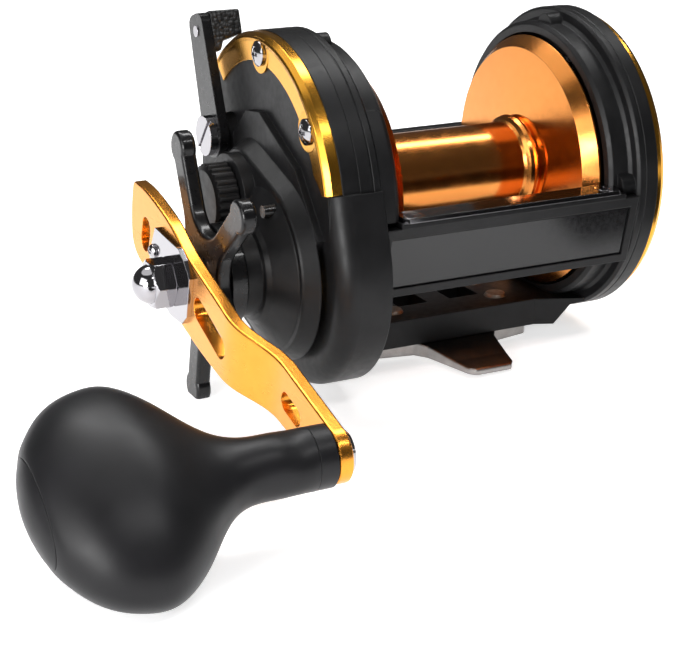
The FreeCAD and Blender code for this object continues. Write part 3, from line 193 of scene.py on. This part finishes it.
def rim_anodised():
    """The same gold, turned on a lathe."""
    s = Surface("rim_anodised", (0.80, 0.38, 0.045), 0.20, 1.0).round_edges(0.25 * MM)
    s.colour(s.spread(s.noise(360.0, 4.0), 0.0, 1.0), (0.79, 0.370, 0.042), (0.81, 0.390, 0.050))
    s.roughness(s.spread(s.noise(300.0, 3.0), 0.17, 0.21))
    s.lathe_marks(SPOOL_AXIS, 0.45 * MM, 0.0003 * MM)
    return s.radial_shine(0.35).material


def spool_anodised():
    """Turned aluminium under copper-orange anodising, bright across the cone of each flange."""
    s = Surface("spool_anodised", (0.76, 0.28, 0.065), 0.16, 1.0).round_edges(0.2 * MM)
    s.colour(s.spread(s.noise(420.0, 4.0), 0.0, 1.0), (0.75, 0.273, 0.061), (0.77, 0.288, 0.069))
    s.roughness(s.spread(s.noise(300.0, 3.0), 0.14, 0.18))
    s.lathe_marks(SPOOL_AXIS, 0.45 * MM, 0.0003 * MM)
    return s.radial_shine(0.85).material


def gloss_black():
    """Black coated metal under a clear coat, with a slight orange peel."""
    s = Surface("gloss_black", (0.004, 0.004, 0.0045), 0.30).round_edges(0.4 * MM)
    s.colour(s.spread(s.noise(420.0, 3.0), 0.0, 1.0), (0.0035, 0.0035, 0.0040), (0.0050, 0.0050, 0.0055))
    s.roughness(s.spread(s.noise(600.0, 4.0), 0.25, 0.34))
    s.bump(s.noise(520.0, 2.0), 0.008 * MM, 0.5)
    return s.set(Coat_Weight=0.32, Coat_Roughness=0.08, Specular_IOR_Level=0.2).material


def gloss_black_plastic():
    """The smooth, blank inset and plug."""
    s = Surface("gloss_black_plastic", (0.005, 0.005, 0.0055), 0.20).round_edges(0.25 * MM)
    s.colour(s.spread(s.noise(300.0, 3.0), 0.0, 1.0), (0.0040, 0.0040, 0.0045), (0.0060, 0.0060, 0.0065))
    s.roughness(s.spread(s.noise(900.0, 4.0), 0.16, 0.25))
    s.bump(s.noise(2600.0, 2.0), 0.004 * MM, 0.5)
    return s.set(Specular_IOR_Level=0.5).material


def soft_black():
    """Soft-touch paint on the knob: matte, with a broad dull sheen and light smudges."""
    s = Surface("soft_black", (0.008, 0.0078, 0.0088), 0.40).round_edges(0.3 * MM)
    s.colour(s.spread(s.noise(90.0, 6.0), 0.0, 1.0), (0.0050, 0.0048, 0.0056), (0.0080, 0.0077, 0.0090))
    s.roughness(s.spread(s.noise(130.0, 6.0), 0.37, 0.45))
    s.bump(s.noise(4200.0, 3.0), 0.012 * MM, 0.7)
    return s.set(Sheen_Weight=0.03, Sheen_Roughness=0.5, Specular_IOR_Level=0.27).material


def pad_black():
    """The lever pad's crinkled skin, with painted shade: the low valleys between the raised cells are
    coloured darker.
    """
    s = Surface("pad_black", (0.008, 0.008, 0.008), 0.42).round_edges(0.4 * MM)
    cells = s.cells(950.0)
    # Painted shade: the colour runs darker where the crinkle is low, between the cells, and lighter on
    # their raised middles.
    s.colour(s.spread(cells, 0.0, 1.0, 0.1, 0.7), (0.014, 0.014, 0.015), (0.004, 0.004, 0.004))
    s.roughness(s.spread(s.noise(900.0, 3.0), 0.34, 0.52))
    s.bump(s.math("SUBTRACT", 1.0, cells), 0.30 * MM, 0.9)
    return s.material


def polished(name, colour, low, high, edge=0.25 * MM):
    """A bright metal with fine wipe marks and slight waviness."""
    s = Surface(name, colour, low, 1.0).round_edges(edge)
    wipe = s.noise(1800.0, 3.0, vector=s.moved(scale=(1.0, 0.12, 0.12), turn=(0.5, 0.2, 0.0)))
    s.roughness(s.spread(wipe, low, high))
    s.bump(s.noise(260.0, 2.0), 0.006 * MM, 0.4)
    return s


def chrome():
    """Plated screws, nut and retainer."""
    return polished("chrome", (0.42, 0.41, 0.43), 0.06, 0.10).material


def foot_steel():
    """Polished stainless, darker where it has been handled."""
    s = polished("foot_steel", (0.33, 0.31, 0.30), 0.16, 0.24, edge=0.8 * MM)
    s.colour(s.spread(s.noise(300.0, 6.0), 0.0, 1.0), (0.29, 0.272, 0.262), (0.36, 0.345, 0.335))
    return s.material


def rivet_metal():
    """Dull peened rivet heads."""
    s = Surface("rivet_metal", (0.30, 0.25, 0.21), 0.4, 1.0).round_edges(0.3 * MM)
    s.colour(s.spread(s.noise(600.0, 4.0), 0.0, 1.0), (0.24, 0.20, 0.17), (0.33, 0.28, 0.24))
    s.roughness(s.spread(s.noise(900.0, 3.0), 0.30, 0.5))
    s.bump(s.noise(1300.0, 3.0), 0.03 * MM, 0.6)
    return s.material


def deck_metal():
    """The dark, hard-polished strip that the line runs over."""
    s = polished("deck_metal", (0.22, 0.215, 0.225), 0.06, 0.10)
    s.colour(s.spread(s.noise(500.0, 3.0), 0.0, 1.0), (0.21, 0.205, 0.215), (0.23, 0.225, 0.235))
    return s.set(Coat_Weight=0.3, Coat_Roughness=0.08).material


def steel():
    """Ground steel, brushed in one direction."""
    s = Surface("steel", (0.55, 0.55, 0.56), 0.32, 1.0).round_edges(0.15 * MM)
    grain = s.noise(2400.0, 2.0, vector=s.moved(scale=(1.0, 0.04, 1.0)))
    s.colour(s.spread(grain, 0.0, 1.0), (0.46, 0.46, 0.47), (0.62, 0.62, 0.63))
    s.roughness(s.spread(grain, 0.24, 0.42))
    return s.bump(grain, 0.008 * MM, 0.5).material


def brass():
    """Hobbed brass with turning marks."""
    s = Surface("brass", (0.78, 0.56, 0.22), 0.3, 1.0).round_edges(0.1 * MM)
    s.colour(s.spread(s.noise(200.0, 4.0), 0.0, 1.0), (0.66, 0.45, 0.16), (0.84, 0.62, 0.27))
    s.roughness(s.spread(s.noise(700.0, 3.0), 0.22, 0.4))
    return s.lathe_marks(HANDLE_AXIS, 0.2 * MM, 0.002 * MM).material


def fibre():
    """Woven drag fibre, with painted shade: the low pits of the weave are coloured darker."""
    s = Surface("fibre", (0.10, 0.085, 0.07), 0.8)
    weave = s.cells(2200.0)
    # Painted shade: the colour is darker in the pits of the weave, where the bump is low, and lighter on
    # the raised parts.
    s.colour(s.spread(weave, 0.0, 1.0, 0.1, 0.7), (0.05, 0.043, 0.036), (0.15, 0.13, 0.105))
    s.roughness(s.spread(s.noise(900.0), 0.7, 0.9))
    return s.bump(weave, 0.08 * MM, 0.7).material


def nylon():
    """Natural nylon with a waxy surface."""
    s = Surface("nylon", (0.74, 0.71, 0.62), 0.45).round_edges(0.15 * MM)
    s.colour(s.spread(s.noise(240.0, 3.0), 0.0, 1.0), (0.70, 0.66, 0.56), (0.78, 0.75, 0.67))
    s.roughness(s.spread(s.noise(600.0), 0.38, 0.54))
    return s.bump(s.noise(1900.0), 0.01 * MM, 0.5).set(Subsurface_Weight=0.1).material


def spring_steel():
    """Drawn wire and rolled leaf."""
    s = Surface("spring_steel", (0.42, 0.42, 0.45), 0.3, 1.0)
    draw = s.noise(3000.0, 2.0, vector=s.moved(scale=(0.05, 1.0, 1.0)))
    s.colour(s.spread(draw, 0.0, 1.0), (0.34, 0.34, 0.37), (0.50, 0.50, 0.53))
    s.roughness(s.spread(draw, 0.2, 0.4))
    return s.bump(draw, 0.006 * MM, 0.5).material


SURFACES = {
    "graphite": graphite(),
    "gold_anodised": gold_anodised(),
    "spool_anodised": spool_anodised(),
    "gloss_black": gloss_black(),
    "gloss_black_plastic": gloss_black_plastic(),
    "soft_black": soft_black(),
    "pad_black": pad_black(),
    "chrome": chrome(),
    "foot_steel": foot_steel(),
    "rivet_metal": rivet_metal(),
    "deck_metal": deck_metal(),
    "steel": steel(),
    "brass": brass(),
    "fibre": fibre(),
    "nylon": nylon(),
    "spring_steel": spring_steel(),
}
RIM_SURFACE = rim_anodised()


def dress_frame():
    """Give every CAD node the surface its material slot names."""
    slots = {part["node"]: part["material_slot"] for part in frame["record"]["subparts"]}
    for name, node in frame["nodes"].items():
        surface = SURFACES[slots[name]]
        if name in ("far_side_trim", "handle_side_trim"):
            surface = RIM_SURFACE
        node.data.materials.clear()
        node.data.materials.append(surface)


dress_frame()


# ---------------------------------------------------------------- stage

def lowest(node, up):
    """The node's lowest corner when up is the way up."""
    return min((Vector(v.co) for v in frame["nodes"][node].data.vertices), key=lambda v: v.dot(up))


FOOT_REAR_TIP_X = 6.0 * MM
FOOT_SIDE_TIP_Y = 9.0 * MM
FLOOR_CLEARANCE = 0.1 * MM


def floor():
    """A pale sheet under the reel, tilted so that it touches the knob and the edge of the foot."""
    knob = lowest("knob_body", Vector((0.0, 0.0, 1.0)))
    foot_high = Vector(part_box("reel_foot")[1])
    rear_tip = Vector((FOOT_REAR_TIP_X, foot_high.y, 0.0))
    side_tip = Vector((foot_high.x, FOOT_SIDE_TIP_Y, 0.0))
    normal = (rear_tip - knob).cross(side_tip - knob).normalized()
    if normal.z < 0:
        normal.negate()
    knob = lowest("knob_body", normal)
    bpy.ops.mesh.primitive_plane_add(size=8.0)
    sheet = bpy.context.object
    sheet.name = "floor"
    sheet.rotation_mode = "QUATERNION"
    sheet.rotation_quaternion = normal.to_track_quat("Z", "Y")
    sheet.location = knob - FLOOR_CLEARANCE * normal
    s = Surface("floor_paper", (0.86, 0.86, 0.87), 0.6)
    s.colour(s.spread(s.noise(3.0), 0.0, 1.0), (0.85, 0.85, 0.86), (0.87, 0.87, 0.88))
    s.set(Emission_Color=(1.0, 1.0, 1.0, 1.0), Emission_Strength=0.66, Specular_IOR_Level=0.2)
    sheet.data.materials.append(s.material)
    dark_card(knob, normal)


CARD_NEAR_X, CARD_FAR_X = 0.05, 0.30
CARD_BACK_Y, CARD_FRONT_Y = -0.07, -0.36
CARD_LIFT = 1.5 * MM


def dark_card(point, normal):
    """A black card on the floor in front of the far side, which the panel and the deck mirror: a dark
    sheet put there to give painted shade in their reflections.
    """
    corners = []
    for x, y in (
            (CARD_NEAR_X, CARD_BACK_Y), (CARD_FAR_X, CARD_BACK_Y),
            (CARD_FAR_X, CARD_FRONT_Y), (CARD_NEAR_X, CARD_FRONT_Y)):
        drop = ((x - point.x) * normal.x + (y - point.y) * normal.y) / normal.z
        corners.append((x, y, point.z - drop + CARD_LIFT))
    mesh = bpy.data.meshes.new("dark_card")
    mesh.from_pydata(corners, [], [(0, 1, 2, 3)])
    card = bpy.data.objects.new("dark_card", mesh)
    bpy.context.scene.collection.objects.link(card)
    # Painted shade: the card's black stands in for dark surroundings in the reflections on the panel and
    # the deck.
    s = Surface("card_black", (0.01, 0.01, 0.01), 0.9)
    s.colour(s.spread(s.noise(8.0), 0.0, 1.0), (0.008, 0.008, 0.008), (0.014, 0.014, 0.014))
    mesh.materials.append(s.set(Specular_IOR_Level=0.1).material)


def area_light(name, place, aim, size, power):
    """A rectangular softbox at a place, turned to face the aim."""
    light = bpy.data.lights.new(name, "AREA")
    light.shape = "RECTANGLE"
    light.size, light.size_y = size
    light.energy = power
    lamp = bpy.data.objects.new(name, light)
    lamp.location = place
    lamp.rotation_mode = "QUATERNION"
    lamp.rotation_quaternion = (Vector(aim) - Vector(place)).to_track_quat("-Z", "Y")
    bpy.context.scene.collection.objects.link(lamp)


def sun(name, aim, spread_degrees, strength):
    """Distant light along the aim, as soft as a disc of the given angle."""
    light = bpy.data.lights.new(name, "SUN")
    light.angle = math.radians(spread_degrees)
    light.energy = strength
    lamp = bpy.data.objects.new(name, light)
    lamp.rotation_mode = "QUATERNION"
    lamp.rotation_quaternion = Vector(aim).to_track_quat("-Z", "Y")
    bpy.context.scene.collection.objects.link(lamp)


def lighting():
    """Soft light from above, two softboxes at the left and two thin strips that draw the highlights."""
    middle = (-0.04, -0.02, 0.04)
    sun("sky_light", (0.15, -0.25, -1.0), 60.0, 0.8)
    area_light("left_softbox", (-1.3, -0.35, 0.55), middle, (0.95, 0.85), 7.0)
    area_light("knob_softbox", (-0.95, -0.60, 0.25), middle, (0.40, 0.40), 8.0)
    area_light("top_strip", (0.15, 0.30, 0.8), middle, (0.9, 0.15), 5.0)
    area_light("spool_strip", (0.05, -0.55, 0.75), middle, (0.6, 0.06), 2.2)
    world = bpy.data.worlds.new("studio")
    world.use_nodes = True
    world.node_tree.nodes["Background"].inputs["Color"].default_value = (1.0, 1.0, 1.0, 1.0)
    world.node_tree.nodes["Background"].inputs["Strength"].default_value = 0.06
    bpy.context.scene.world = world


def camera():
    """A short telephoto from the handle side, in front and above."""
    lens = bpy.data.cameras.new("camera")
    lens.lens = 90.73
    lens.sensor_width = 36.0
    lens.sensor_fit = "HORIZONTAL"
    lens.shift_x = -0.0092
    lens.shift_y = -0.0029
    eye = bpy.data.objects.new("camera", lens)
    eye.location = (-0.21976, -0.38684, 0.15806)
    eye.rotation_euler = (math.radians(70.77), 0.0, math.radians(-26.55))
    bpy.context.scene.collection.objects.link(eye)
    bpy.context.scene.camera = eye


floor()
lighting()
camera()
bpy.context.scene.view_settings.view_transform = "Standard"
